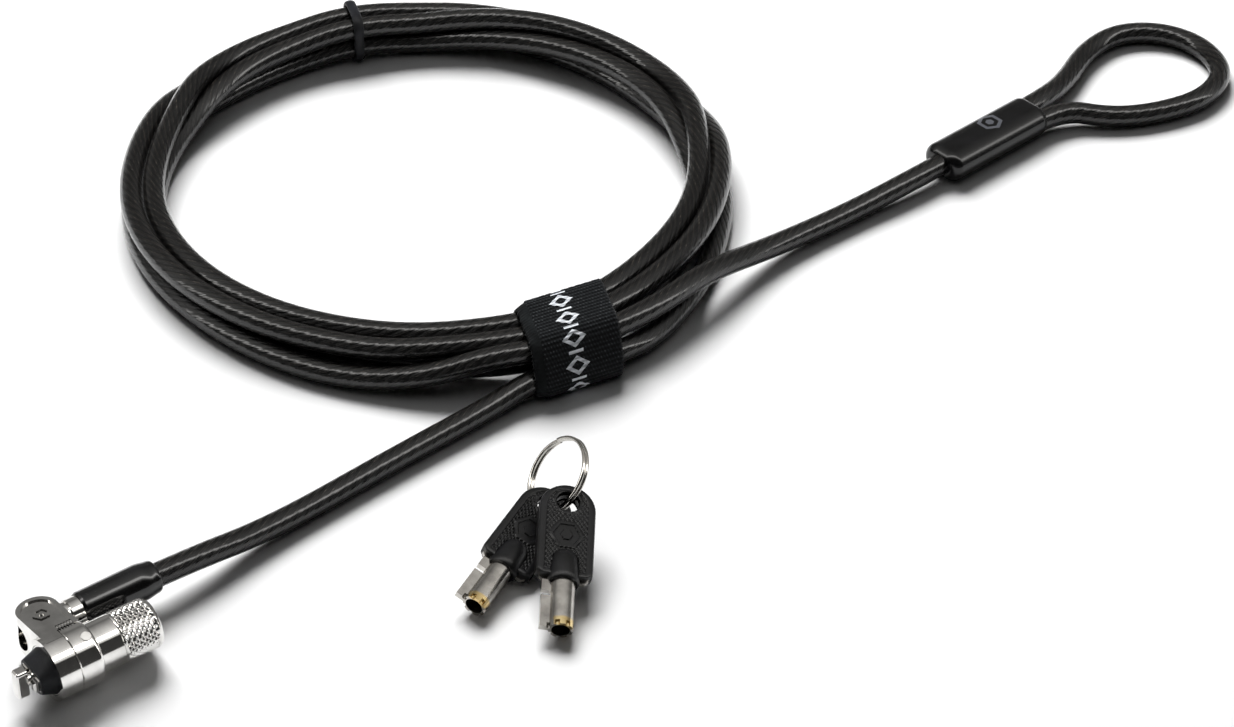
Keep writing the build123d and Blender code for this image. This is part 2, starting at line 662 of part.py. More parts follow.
def key_head(key, name, plate):
    """Make the moulded head with its sunk panel, its ring hole and its thin web."""
    with BuildPart() as piece:
        outline = head_outline(key_face_plane(key), KEY_WIDTH, KEY_NECK + 1.0, KEY_LENGTH, 1.6)
        extrude(outline, amount=KEY_THICKNESS / 2, both=True)
        for side in (-1, 1):
            face = key_face_plane(key).offset(side * KEY_THICKNESS / 2)
            panel = head_outline(face, KEY_WIDTH - 2.4, KEY_NECK + 4.0, KEY_HOLE - 3.6, 0.6)
            extrude(panel, amount=-0.4 * side, mode=Mode.SUBTRACT)
            with BuildSketch(face):
                with Locations((0, KEY_HOLE)):
                    Circle(KEY_HOLE_R + 1.0)
            extrude(amount=-(KEY_THICKNESS - KEY_WEB) / 2 * side, mode=Mode.SUBTRACT)
        with BuildSketch(key_plane(key, KEY_NECK)):
            Circle(KEY_BOSS_R)
        extrude(amount=KEY_BOSS, taper=8)
        with BuildSketch(key_face_plane(key)):
            with Locations((0, KEY_HOLE)):
                Circle(KEY_HOLE_R)
        extrude(amount=KEY_THICKNESS, both=True, mode=Mode.SUBTRACT)
        with BuildSketch(key_plane(key, KEY_NECK)):
            Circle(KEY_TUBE_R)
        extrude(amount=6.0, mode=Mode.SUBTRACT)
        add(plate.part, mode=Mode.SUBTRACT)
    finish_part(piece, name)


key_tube(KEY_A, "key_a_tube")
key_a_plate = key_plate(KEY_A, "key_a_plate")
key_head(KEY_A, "key_a_head", key_a_plate)
key_tube(KEY_B, "key_b_tube")
key_b_plate = key_plate(KEY_B, "key_b_plate")
key_head(KEY_B, "key_b_head", key_b_plate)

ring_plane = Plane(origin=RING_CENTRE, z_dir=RING_NORMAL)
with BuildPart() as key_ring:
    with BuildSketch(Plane(origin=ring_plane.origin, x_dir=ring_plane.x_dir, z_dir=ring_plane.y_dir)):
        with Locations((RING_R, 0)):
            SlotOverall(4 * RING_WIRE_R - 0.05, 2 * RING_WIRE_R, rotation=90)
    revolve(axis=Axis(ring_plane.origin, ring_plane.z_dir))
finish_part(key_ring, "key_ring")
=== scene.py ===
"""Laptop cable lock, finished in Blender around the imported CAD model. Lengths are in metres."""

from math import cos, exp, hypot, pi, radians, sin

import bmesh
import bpy
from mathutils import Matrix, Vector


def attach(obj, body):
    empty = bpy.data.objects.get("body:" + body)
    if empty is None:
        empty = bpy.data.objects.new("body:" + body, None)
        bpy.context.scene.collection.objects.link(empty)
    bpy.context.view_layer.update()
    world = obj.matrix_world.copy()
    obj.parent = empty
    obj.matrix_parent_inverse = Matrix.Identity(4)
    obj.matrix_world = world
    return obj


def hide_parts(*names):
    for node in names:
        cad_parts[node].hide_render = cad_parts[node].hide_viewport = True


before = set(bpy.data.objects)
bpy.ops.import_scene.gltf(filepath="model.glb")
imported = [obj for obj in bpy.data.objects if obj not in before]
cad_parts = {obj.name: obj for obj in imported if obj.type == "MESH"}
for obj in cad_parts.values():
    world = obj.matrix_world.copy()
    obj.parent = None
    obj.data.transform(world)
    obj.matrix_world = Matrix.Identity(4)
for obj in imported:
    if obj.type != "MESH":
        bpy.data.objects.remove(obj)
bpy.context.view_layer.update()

MM = 0.001
FLOOR_Z = -7.0
CABLE_D = 5.5
CABLE_R = CABLE_D / 2
LIE_Z = FLOOR_Z + CABLE_R

# camera: place in metres, tilt and turn in degrees
CAMERA_PLACE = (-0.2380, -0.5167, 0.5166)
CAMERA_TILT, CAMERA_TURN, CAMERA_LENS = 52.0, -37.0, 106.8

# the coil, as in the CAD source
COIL_X, COIL_Y, COIL_R = 167.4, 99.2, 69.2
STRAP_ANGLE, STRAP_PULL, STRAP_PULL_WIDTH = -100.0, 6.8, 25.0
TIE_ANGLE = 71.0

# the end loop's sleeve
SLEEVE_X, SLEEVE_Y, SLEEVE_Z, SLEEVE_TURN = 274.0, 30.07, -2.9, 4.8
SLEEVE_HEIGHT = 8.2
MARK_ALONG, MARK_ACROSS, MARK_OUTER, MARK_INNER, MARK_DOT = 18.5, 0.8, 2.9, 2.0, 1.0
CRIMP_START, CRIMP_END, LEG_OUT = 5.0, 26.4, 2.9

# strap and tie, and the places of the cables that they hold; the strap's pile lining shows as a rim
STRAP_WIDTH, STRAP_SHIFT, STRAP_THICKNESS, STRAP_SKEW, STRAP_RIM = 21.8, 2.2, 2.5, 0.22, 2.0
STRAP_SPACING, RIB_STEPS, RIB_HEIGHT, WEFT_HEIGHT, EDGE_HEIGHT = 0.22, 5, 0.09, 0.04, 0.12
PILE_SPACING, PILE_DEPTH = 0.3, 0.85
PATTERN_REPEAT, PATTERN_MIDDLE = 6.4, 0.47
STRAP_SECTION = [(-8.4, 2.3), (2.5, 2.3), (5.4, -2.45), (-0.15, -2.45)]
TIE_THICKNESS, TIE_HALF_WIDTH, TIE_HALF_THICKNESS = 1.4, 1.3, 0.68
TIE_SECTION = [(-2.75, -2.85), (2.75, -2.85), (2.75, 2.65), (-2.75, 2.65)]

# knurled grip of the head
GRIP_FRONT, GRIP_BACK, GRIP_R, GRIP_BORE_R, TAIL_R = 19.3, 28.9, 5.7, 4.35, 5.3
KNURL_STARTS, KNURL_DEPTH, KNURL_FADE, KNURL_SLOPE = 26, 0.36, 0.6, 1.35
KNURL_STEPS, STEPS_PER_START = 64, 10

# keys: sizes of the moulded head, then place of the tip, heading, lift and roll of each key
KEY_NECK, KEY_LENGTH, KEY_WIDTH, KEY_HOLE, KEY_HOLE_R, KEY_THICKNESS = 12.0, 36.4, 11.5, 32.3, 2.5, 3.2
HEAD_START, HEAD_CORNER, HEAD_BORDER, HOLE_BORDER = KEY_NECK + 1.0, 1.6, 1.35, 0.75
BADGE_ALONG, BADGE_OUTER, BADGE_INNER, BADGE_DOT = 23.6, 3.3, 2.6, 1.2
HATCH_PITCH, HATCH_SLANT, HATCH_HEIGHT = 0.95, 0.7, 0.3
FIELD_HEIGHT, BORDER_HEIGHT, BADGE_HEIGHT = 0.02, 0.26, 0.34
COVER_CELL, COVER_INSET, COVER_SKIRT, HOLE_ROOM = 0.16, 0.12, 0.35, 0.05
BOSS_END, BOSS_ROOM, BOSS_TAPER = 6.0, 3.3, 0.1
KEYS = {
    "key_a": ((98.5, -50.3, -4.2), 51.0, 14.0, -12.5),
    "key_b": ((88.3, -33.0, -4.2), 25.0, 5.0, -23.0),
}

# outlines round each head, as pairs: (along the key from its neck, radius) for the boss, and
# (outward from the head's side, up from its middle) for its side wall
BOSS_PROFILE = [
    (-0.3, 2.72), (-0.35, 3.2), (0.0, 3.5), (1.2, 3.6), (5.0, 3.3), (6.6, 3.0), (7.3, 2.5), (7.6, 1.6),
    (7.7, 0.02),
]
RIM_PROFILE = [
    (-0.6, 1.87), (-0.1, 1.87), (0.25, 1.7), (0.45, 1.3), (0.5, 0.6), (0.5, -0.6), (0.45, -1.3),
    (0.25, -1.7), (-0.1, -1.87), (-0.6, -1.87),
]

# the split ring's wire
RING_R, RING_WIRE_R, RING_STEP, RING_START = 8.8, 0.45, 0.45, 150.0
RING_CENTRE = Vector((122.3, -17.1, 4.3))
RING_NORMAL = Vector((-0.724, 0.241, 0.646))
RING_POINTS, RING_STEP_FROM, RING_STEP_OVER, RING_OVAL = 240, 0.9, 0.2, 0.06

# what the plated and glossy parts mirror: grey behind, bright overhead, and a dark room in front, by
# share of the way from the back horizon, at 0, over the top to the front horizon, at 1
SKY_BACK, SKY_UP, SKY_STRENGTH = (0.602, 0.799, 0.0), (0.0, 0.0, 1.0), 6.0
SKY_BANDS = [
    (0.0, 0.03), (0.14, 0.037), (0.2, 0.025), (0.27, 0.05), (0.44, 0.13), (0.49, 0.2), (0.5, 1.0),
    (0.555, 1.0), (0.565, 0.2), (0.6, 0.14), (0.62, 0.006), (0.97, 0.008), (1.0, 0.06),
]
FLOOR_HALF, FLOOR_GAP = 6, 0.00002
LIGHT_TARGET = (0.17, 0.05, 0.0)


def in_sleeve(along, across):
    """Point inside the end loop's sleeve: so far along it, and so far to its left."""
    turn = radians(SLEEVE_TURN)
    x = SLEEVE_X + along * cos(turn) - across * sin(turn)
    y = SLEEVE_Y + along * sin(turn) + across * cos(turn)
    return (x, y, SLEEVE_Z)


# ---- routes: the same points as in the CAD source, in millimetres -------------------------------
LEAD_ROUTE = [
    (24.2, 12.0, 0.0),
    (44.0, 12.0, 0.0),
    (68.0, 14.4, LIE_Z),
    (103.0, 18.0, LIE_Z),
    (129.0, 19.8, -4.1),
    (143.4, 20.7, -2.5),
]
FIRST_TURN_ROUTE = [
    (163.1, 17.3, -2.5),
    (176.0, 18.4, -4.1),
    (192.0, 25.2, LIE_Z),
    (208.0, 36.2, LIE_Z),
]
TAIL_ROUTE = [
    (163.6, 20.3, 2.3),
    (178.0, 20.6, 2.4),
    (197.0, 25.0, 1.9),
    (219.0, 28.6, -3.2),
    (244.0, 29.2, LIE_Z),
    in_sleeve(-8.5, 0.0),
    in_sleeve(CRIMP_START, 0.0),
]
LOOP_ROUTE = [
    in_sleeve(CRIMP_END, LEG_OUT),
    in_sleeve(CRIMP_END + 13.9, LEG_OUT),
    (325.4, 40.2, -4.1),
    (338.7, 47.4, LIE_Z),
    (351.5, 49.2, LIE_Z),
    (361.6, 42.3, LIE_Z),
    (365.3, 30.6, LIE_Z),
    (361.0, 18.5, LIE_Z),
    (348.9, 13.2, LIE_Z),
    (335.5, 15.2, LIE_Z),
    (323.6, 20.8, -4.1),
    in_sleeve(CRIMP_END + 13.9, -LEG_OUT),
    in_sleeve(CRIMP_END, -LEG_OUT),
]

# the four cables are stacked two by two, and the stack turns about its middle as it goes round the
# coil: angle round the coil, then turn of the stack
STACK_TURNS = [
    (-32, -12), (-26, -24), (-12, -68), (5, -76), (27, -50), (48, -15), (60, 0), (90, 6), (107, 22),
    (121, 68), (135, 88), (150, 90),
]
STACK_R = 3.92
STACK_FIRST, STACK_LAST, STACK_STEP = -30, 156, 6
STACK_OUT, STACK_OUT_FROM, STACK_OUT_OVER = 0.4, -37, 80
TIE_LIFT, TIE_REACH = 1.4, 8.0

# each turn: its corner of the stack, its places before the stack starts and its places after it ends,
# as angle round the coil, then outward and up from the bundle's middle
TURNS = [
    (315, [(-42, 4.0, -4.25)],
     [(188, 1.6, 1.3), (228, 0.3, 0.7), (240, -1.4, 1.9), (250, -2.6, 2.3), (258, -2.95, 2.3)]),
    (45, [(-98, -2.95, 2.3), (-88, -2.6, 2.3), (-62, 1.2, 1.7), (-37, 3.15, 1.25)],
     [(188, -3.9, 1.1), (228, -5.8, 0.9), (250, -8.2, 2.3), (258, -8.4, 2.3)]),
    (135, [(-98, -8.4, 2.3), (-88, -8.1, 2.3), (-62, -4.6, 1.7), (-37, -2.35, 1.25)],
     [(188, -2.6, -4.25), (228, -2.6, -4.25), (242, -1.7, -4.1), (250, -0.5, -2.75),
      (258, -0.15, -2.45)]),
    (225, [(-98, -0.15, -2.45), (-88, -0.4, -2.7), (-62, -2.2, -4.25), (-37, -2.35, -4.25)],
     [(188, 2.9, -4.25), (220, 6.1, -4.25), (235, 5.6, -1.8), (245, 3.6, 2.2), (252, 2.6, 2.4),
      (258, 2.5, 2.3)]),
]
POINTS_PER_TURN = 40


def bundle_radius(angle):
    """Distance from the coil's centre to the middle of the bundle."""
    off = (angle - STRAP_ANGLE + 180) % 360 - 180
    return COIL_R + STRAP_PULL * exp(-((off / STRAP_PULL_WIDTH) ** 2))


def smooth_row(rows, at):
    """Follow a smooth curve through rows of (place, value, ...) and return the values at this place."""
    last = len(rows) - 1
    i = 0
    while i < last - 1 and rows[i + 1][0] < at:
        i += 1
    before, start, end, after = rows[max(i - 1, 0)], rows[i], rows[i + 1], rows[min(i + 2, last)]
    span = end[0] - start[0]
    t = min(max((at - start[0]) / span, 0.0), 1.0)
    values = []
    for k in range(1, len(start)):
        slope_in = (end[k] - before[k]) / (end[0] - before[0]) * span
        slope_out = (after[k] - start[k]) / (after[0] - start[0]) * span
        values.append(
            (2 * t**3 - 3 * t**2 + 1) * start[k] + (t**3 - 2 * t**2 + t) * slope_in
            + (3 * t**2 - 2 * t**3) * end[k] + (t**3 - t**2) * slope_out
        )
    return values


def stacked_place(angle, corner):
    """Outward and upward place of one corner of the stack at this angle."""
    (turn,) = smooth_row(STACK_TURNS, angle)
    corners = [radians(turn + quarter) for quarter in (45, 135, 225, 315)]
    middle_up = LIE_Z - STACK_R * min(sin(c) for c in corners)
    middle_up += TIE_LIFT * exp(-(((angle - TIE_ANGLE) / TIE_REACH) ** 2))
    middle_out = STACK_OUT * max(0.0, 1 - (angle - STACK_OUT_FROM) / STACK_OUT_OVER)
    here = radians(turn + corner)
    return middle_out + STACK_R * cos(here), middle_up + STACK_R * sin(here)


def coil_places():
    """All places of the four turns, in the order in which the cable runs through them."""
    rows = []
    for lap, (corner, before, after) in enumerate(TURNS):
        rows += [(angle + 360 * lap, out, up) for angle, out, up in before]
        for angle in range(STACK_FIRST, STACK_LAST + 1, STACK_STEP):
            rows.append((angle + 360 * lap, *stacked_place(angle, corner)))
        rows += [(angle + 360 * lap, out, up) for angle, out, up in after]
    return rows


def coil_route():
    """The cable's four turns, from the end of the first turn's near side to the strap."""
    rows = coil_places()
    points = []
    step = 360 / POINTS_PER_TURN
    # the curve runs slightly inside its control points, so they lie slightly outside the route
    swell = 1 / cos(pi / POINTS_PER_TURN) ** 0.5
    angle = rows[0][0]
    while angle <= rows[-1][0]:
        out, up = smooth_row(rows, angle)
        reach = (bundle_radius(angle) + out) * swell
        a = radians(angle)
        points.append((COIL_X + reach * cos(a), COIL_Y + reach * sin(a), max(up, LIE_Z)))
        angle += step
    return points


def spline_points(points, name, resolution):
    """Follow a smooth curve through control points in millimetres, and return its line in metres."""
    data = bpy.data.curves.new(name, "CURVE")
    data.dimensions = "3D"
    data.resolution_u = resolution
    spline = data.splines.new("NURBS")
    spline.points.add(len(points) - 1)
    for target, (x, y, z) in zip(spline.points, points):
        target.co = (x * MM, y * MM, z * MM, 1.0)
    spline.order_u = 3
    spline.use_endpoint_u = True
    holder = bpy.data.objects.new(name, data)
    mesh = bpy.data.meshes.new_from_object(holder)
    line = [v.co.copy() for v in mesh.vertices]
    bpy.data.meshes.remove(mesh)
    bpy.data.objects.remove(holder)
    bpy.data.curves.remove(data)
    return line


def new_object(name, mesh):
    """Link a mesh to the scene as an object."""
    obj = bpy.data.objects.new(name, mesh)
    bpy.context.scene.collection.objects.link(obj)
    return obj


def mesh_object(name, bm, sharp_angle):
    """Make an object of a bmesh, smooth apart from the edges that are sharper than the angle."""
    mesh = bpy.data.meshes.new(name)
    bm.to_mesh(mesh)
    bm.free()
    for polygon in mesh.polygons:
        polygon.use_smooth = True
    mesh.set_sharp_from_angle(angle=radians(sharp_angle))
    return new_object(name, mesh)


def sweep_frames(line):
    """Directions across the line at each point, carried along it without twist."""
    frames = []
    across = None
    for i, here in enumerate(line):
        ahead = line[min(i + 1, len(line) - 1)] - line[max(i - 1, 0)]
        ahead.normalize()
        if across is None:
            across = ahead.cross(Vector((0, 0, 1))).normalized()
        across = (across - ahead * across.dot(ahead)).normalized()
        frames.append((here, across.copy(), ahead.cross(across)))
    return frames


def tube(name, line, radius, sides=20):
    """Build a round tube along a line and return it with its length in metres.

    Its UVs are the turn round it, from 0 to 1, and the place along it in tenths of a metre.
    """
    bm = bmesh.new()
    uv = bm.loops.layers.uv.new("sweep")
    rings = []
    lengths = [0.0]
    for a, b in zip(line, line[1:]):
        lengths.append(lengths[-1] + (b - a).length)
    turns = [2 * pi * k / sides for k in range(sides)]
    for here, across, up in sweep_frames(line):
        rings.append([bm.verts.new(here + (across * cos(a) + up * sin(a)) * radius) for a in turns])
    for i in range(len(rings) - 1):
        for k in range(sides):
            j = (k + 1) % sides
            face = bm.faces.new((rings[i][k], rings[i][j], rings[i + 1][j], rings[i + 1][k]))
            corners = ((k, i), (k + 1, i), (k + 1, i + 1), (k, i + 1))
            for loop, (turn, place) in zip(face.loops, corners):
                loop[uv].uv = (turn / sides, lengths[place] * 10)
    bm.faces.new(rings[0][::-1])
    bm.faces.new(rings[-1])
    bmesh.ops.recalc_face_normals(bm, faces=bm.faces)
    return mesh_object(name, bm, 50), lengths[-1]


# ---- camera -------------------------------------------------------------------------------------
scene = bpy.context.scene
camera_data = bpy.data.cameras.new("camera")
camera_data.lens = CAMERA_LENS
camera_data.sensor_width = 36.0
camera_data.clip_end = 20
camera = bpy.data.objects.new("camera", camera_data)
camera.location = CAMERA_PLACE
camera.rotation_euler = (radians(CAMERA_TILT), 0, radians(CAMERA_TURN))
scene.collection.objects.link(camera)
scene.camera = camera
scene.view_settings.view_transform = "Standard"


# ---- materials ----------------------------------------------------------------------------------
class Shade:
    """A material under construction: its nodes are added, wired and set by short calls."""

    def __init__(self, name, **sockets):
        self.material = bpy.data.materials.new(name)
        self.material.use_nodes = True
        self.tree = self.material.node_tree
        self.shader = self.tree.nodes["Principled BSDF"]
        for socket, value in sockets.items():
            self.shader.inputs[socket.replace("_", " ")].default_value = value

    def node(self, kind, *inputs, out=0, **settings):
        """Add a node, set its properties, and wire or set its inputs in order. Return one output."""
        node = self.tree.nodes.new("ShaderNode" + kind)
        for name, value in settings.items():
            setattr(node, name, value)
        for target, value in zip(node.inputs, inputs):
            if isinstance(value, bpy.types.NodeSocket):
                self.tree.links.new(value, target)
            elif value is not None:
                target.default_value = value
        return node.outputs[out]

    def math(self, operation, *inputs):
        """Add a maths node."""
        return self.node("Math", *inputs, operation=operation)

    def coords(self, scale=(1, 1, 1)):
        """The piece's own coordinates in metres, scaled."""
        place = self.node("TexCoord", out=3)
        return self.node("Mapping", place, None, None, scale)

    def noise(self, place, scale, detail=3.0, roughness=0.5):
        """Noise from 0 to 1."""
        return self.node("TexNoise", place, None, scale, detail, roughness)

    def ramp(self, value, *stops):
        """Colours at places from 0 to 1."""
        node = self.tree.nodes.new("ShaderNodeValToRGB")
        while len(node.color_ramp.elements) < len(stops):
            node.color_ramp.elements.new(0.5)
        for element, (place, colour) in zip(node.color_ramp.elements, stops):
            element.position = place
            element.color = (*colour, 1)
        self.tree.links.new(value, node.inputs[0])
        return node.outputs[0]

    def mix(self, share, first, second):
        """Blend two colours by a share; each is an output or a plain colour."""
        node = self.tree.nodes.new("ShaderNodeMix")
        node.data_type = "RGBA"
        for place, value in ((0, share), (6, first), (7, second)):
            if isinstance(value, bpy.types.NodeSocket):
                self.tree.links.new(value, node.inputs[place])
            else:
                node.inputs[place].default_value = value
        return node.outputs[2]

    def spread(self, value, low, high):
        """Map 0 to 1 on to low to high."""
        return self.node("MapRange", value, 0.0, 1.0, low, high)

    def set(self, socket, value):
        """Wire an output to the main shader."""
        self.tree.links.new(value, self.shader.inputs[socket])

    def bump(self, height, strength, distance, socket="Normal"):
        """Bump the surface, or its coat, by a height, over a distance in metres."""
        node = self.tree.nodes.new("ShaderNodeBump")
        node.inputs["Strength"].default_value = strength
        node.inputs["Distance"].default_value = distance
        self.tree.links.new(height, node.inputs["Height"])
        self.set(socket, node.outputs[0])


def metal(name, dark, light, rough_low, rough_high):
    """Plated or plain metal: faint tarnish, uneven polish and fine marks."""
    shade = Shade(name, Metallic=1.0)
    clouds = shade.noise(shade.coords(), 180.0, 4.0)
    shade.set("Base Color", shade.ramp(clouds, (0.3, dark), (0.65, light)))
    marks = shade.noise(shade.coords((600, 600, 600)), 6.0, 5.0, 0.7)
    shade.set("Roughness", shade.spread(shade.math("MULTIPLY", clouds, marks), rough_low, rough_high))
    shade.bump(marks, 0.06, 0.00003)
    return shade.material


def plastic(name, dark, light, rough_low, rough_high, grain, depth, coat=0.0, sheen=0.0, shine=0.5):
    """Moulded plastic or rubber: fine grain in its surface and slight unevenness in its tone."""
    shade = Shade(name, Coat_Weight=coat, Coat_Roughness=0.05, Sheen_Weight=sheen, Sheen_Roughness=0.4)
    shade.shader.inputs["Specular IOR Level"].default_value = shine
    clouds = shade.noise(shade.coords(), 220.0, 4.0)
    specks = shade.noise(shade.coords(), grain, 3.0, 0.6)
    shade.set("Base Color", shade.ramp(clouds, (0.35, dark), (0.7, light)))
    shade.set("Roughness", shade.spread(specks, rough_low, rough_high))
    shade.bump(specks, 0.4, depth)
    return shade.material


def cable_material():
    """Steel strands laid in a helix under clear, smoky vinyl, both following the cable's length."""
    shade = Shade("smoky_cable", Coat_Weight=0.85, Coat_Roughness=0.06, Coat_IOR=1.5, Sheen_Weight=0.08,
                  Sheen_Roughness=0.25)
    shade.shader.inputs["Specular IOR Level"].default_value = 0.12
    place = shade.node("UVMap", uv_map="sweep")
    turn = shade.node("SeparateXYZ", place)
    along = turn.node.outputs[1]
    wander = shade.noise(shade.node("Mapping", place, None, None, (2.0, 6.0, 1.0)), 3.0, 2.0)
    helix = shade.math("MULTIPLY_ADD", along, 30.0, shade.math("MULTIPLY", turn, 12.0))
    helix = shade.math("MULTIPLY_ADD", wander, 0.9, helix)
    strand = shade.math("ABSOLUTE", shade.math("SINE", shade.math("MULTIPLY", helix, pi)))
    wires = shade.math("MULTIPLY_ADD", along, 90.0, shade.math("MULTIPLY", turn, 38.0))
    wire = shade.math("ABSOLUTE", shade.math("SINE", shade.math("MULTIPLY", wires, pi)))
    streaks = shade.noise(shade.node("Mapping", place, None, None, (7.0, 3.5, 1.0)), 6.0, 4.0, 0.65)
    body = shade.math("MULTIPLY", strand, shade.spread(wire, 0.62, 1.0))
    body = shade.math("MULTIPLY", body, shade.spread(streaks, 0.25, 1.35))
    shade.set("Base Color", shade.ramp(
        body, (0.3, (0.0004, 0.0004, 0.0003)), (0.6, (0.0025, 0.002, 0.0017)),
        (0.82, (0.015, 0.0128, 0.0105)), (1.0, (0.11, 0.096, 0.08))))
    shade.set("Roughness", shade.spread(streaks, 0.28, 0.5))
    shade.bump(body, 0.9, 0.00022)
    shade.bump(body, 0.3, 0.00008, "Coat Normal")
    return shade.material


def sleeve_material():
    """Glossy black vinyl with a small pale hexagon printed on its upper side."""
    shade = Shade("printed_sleeve", Coat_Weight=0.3, Coat_Roughness=0.05)
    shade.shader.inputs["Specular IOR Level"].default_value = 0.25
    own = shade.node("TexCoord", out=3)
    turn = radians(SLEEVE_TURN)
    middle_x, middle_y, middle_z = in_sleeve(MARK_ALONG, MARK_ACROSS)
    measured = []
    for axis in ((cos(turn), sin(turn), 0.0), (-sin(turn), cos(turn), 0.0)):
        here = shade.node("VectorMath", own, axis, operation="DOT_PRODUCT", out=1)
        start = (axis[0] * middle_x + axis[1] * middle_y) * MM
        measured.append(shade.math("ABSOLUTE", shade.math("SUBTRACT", here, start)))
    along, across = measured
    slant = shade.math("MULTIPLY_ADD", across, 0.866, shade.math("MULTIPLY", along, 0.5))
    reach = shade.math("MAXIMUM", along, slant)
    inside = shade.math("LESS_THAN", reach, MARK_OUTER * MM)
    border = shade.math("MULTIPLY", inside, shade.math("GREATER_THAN", reach, MARK_INNER * MM))
    printed = shade.math("MAXIMUM", border, shade.math("LESS_THAN", reach, MARK_DOT * MM))
    up = shade.node("SeparateXYZ", own).node.outputs[2]
    upper_side = shade.math("GREATER_THAN", up, (middle_z + SLEEVE_HEIGHT / 2 - 0.8) * MM)
    printed = shade.math("MULTIPLY", printed, upper_side)
    clouds = shade.noise(own, 220.0, 4.0)
    vinyl = shade.ramp(clouds, (0.35, (0.002, 0.002, 0.002)), (0.7, (0.005, 0.005, 0.0055)))
    shade.set("Base Color", shade.mix(printed, vinyl, (0.085, 0.088, 0.1, 1)))
    specks = shade.noise(own, 900.0, 3.0, 0.6)
    shade.set("Roughness", shade.spread(specks, 0.16, 0.28))
    shade.bump(specks, 0.4, 0.00002)
    return shade.material


def key_tube_material(name, tip, heading, lift):
    """Nickel plate, cut through to yellow brass at the very tip of the blade."""
    shade = Shade(name, Metallic=1.0)
    axis = (cos(heading) * cos(lift), sin(heading) * cos(lift), sin(lift))
    offset = sum(a * t * MM for a, t in zip(axis, tip))
    own = shade.node("TexCoord", out=3)
    along = shade.node("VectorMath", own, axis, operation="DOT_PRODUCT", out=1)
    clouds = shade.noise(own, 260.0, 4.0)
    depth = shade.math("MULTIPLY_ADD", clouds, 0.0012, shade.math("SUBTRACT", along, offset))
    # the brass shows on the upper side that faces the camera
    cut = Vector((0.45, -0.34, 0.83))
    beside = shade.node("VectorMath", own, cut, operation="DOT_PRODUCT", out=1)
    beside = shade.math("MULTIPLY_ADD", clouds, 0.002, shade.math("SUBTRACT", beside, cut.dot(tip) * MM))
    brass = shade.math("MULTIPLY", shade.node("MapRange", depth, 0.0024, 0.003, 1.0, 0.0),
                       shade.node("MapRange", beside, 0.0022, 0.0027, 0.0, 1.0))
    plate = shade.ramp(clouds, (0.3, (0.34, 0.32, 0.3)), (0.7, (0.6, 0.58, 0.54)))
    gold = shade.ramp(clouds, (0.3, (0.55, 0.36, 0.12)), (0.7, (0.9, 0.72, 0.38)))
    shade.set("Base Color", shade.mix(brass, plate, gold))
    marks = shade.noise(shade.node("Mapping", own, None, None, (900, 900, 900)), 4.0, 4.0, 0.7)
    shade.set("Roughness", shade.spread(marks, 0.1, 0.3))
    shade.bump(marks, 0.08, 0.00003)
    return shade.material


# ---- floor, world and lights --------------------------------------------------------------------
floor_shade = Shade("floor_paper", Base_Color=(0.95, 0.95, 0.95, 1), Roughness=0.9)
floor_shade.shader.inputs["Specular IOR Level"].default_value = 0.05
floor_mesh = bpy.data.meshes.new("floor")
floor_corners = [(x * FLOOR_HALF, y * FLOOR_HALF, FLOOR_Z * MM - FLOOR_GAP)
                 for x, y in ((-1, -1), (1, -1), (1, 1), (-1, 1))]
floor_mesh.from_pydata(floor_corners, [], [(0, 1, 2, 3)])
floor_mesh.materials.append(floor_shade.material)
new_object("floor", floor_mesh)

# the world is seen in mirrored light only
world = bpy.data.worlds.new("studio")
scene.world = world
world.use_nodes = True
world.cycles_visibility.diffuse = False
sky = world.node_tree.nodes
direction = sky.new("ShaderNodeTexCoord")
parts = []
for axis in (SKY_BACK, SKY_UP):
    part = sky.new("ShaderNodeVectorMath")
    part.operation = "DOT_PRODUCT"
    part.inputs[1].default_value = axis
    world.node_tree.links.new(direction.outputs["Generated"], part.inputs[0])
    parts.append(part.outputs["Value"])
arc = sky.new("ShaderNodeMath")
arc.operation = "ARCTAN2"
world.node_tree.links.new(parts[1], arc.inputs[0])
world.node_tree.links.new(parts[0], arc.inputs[1])
share = sky.new("ShaderNodeMath")
share.operation = "DIVIDE"
share.inputs[1].default_value = pi
world.node_tree.links.new(arc.outputs[0], share.inputs[0])
band = sky.new("ShaderNodeValToRGB")
world.node_tree.links.new(share.outputs[0], band.inputs[0])
world.node_tree.links.new(band.outputs[0], sky["Background"].inputs["Color"])
while len(band.color_ramp.elements) < len(SKY_BANDS):
    band.color_ramp.elements.new(0.5)
for element, (place, value) in zip(band.color_ramp.elements, SKY_BANDS):
    element.position = place
    element.color = (value, value * 0.985, value * 0.96, 1)
sky["Background"].inputs["Strength"].default_value = SKY_STRENGTH


def softbox(name, place, width, height, power):
    """Hang a soft rectangular light that faces the lock and isn't mirrored in it."""
    data = bpy.data.lights.new(name, "AREA")
    data.shape = "RECTANGLE"
    data.size = width
    data.size_y = height
    data.energy = power
    light = bpy.data.objects.new(name, data)
    light.location = place
    toward = Vector(LIGHT_TARGET) - Vector(place)
    light.rotation_euler = toward.to_track_quat("-Z", "Y").to_euler()
    light.visible_glossy = False
    scene.collection.objects.link(light)


softbox("back_box", (0.62, 1.15, 1.15), 1.15, 0.9, 54)
softbox("ceiling", (0.17, 0.05, 1.3), 1.5, 1.5, 1.6)

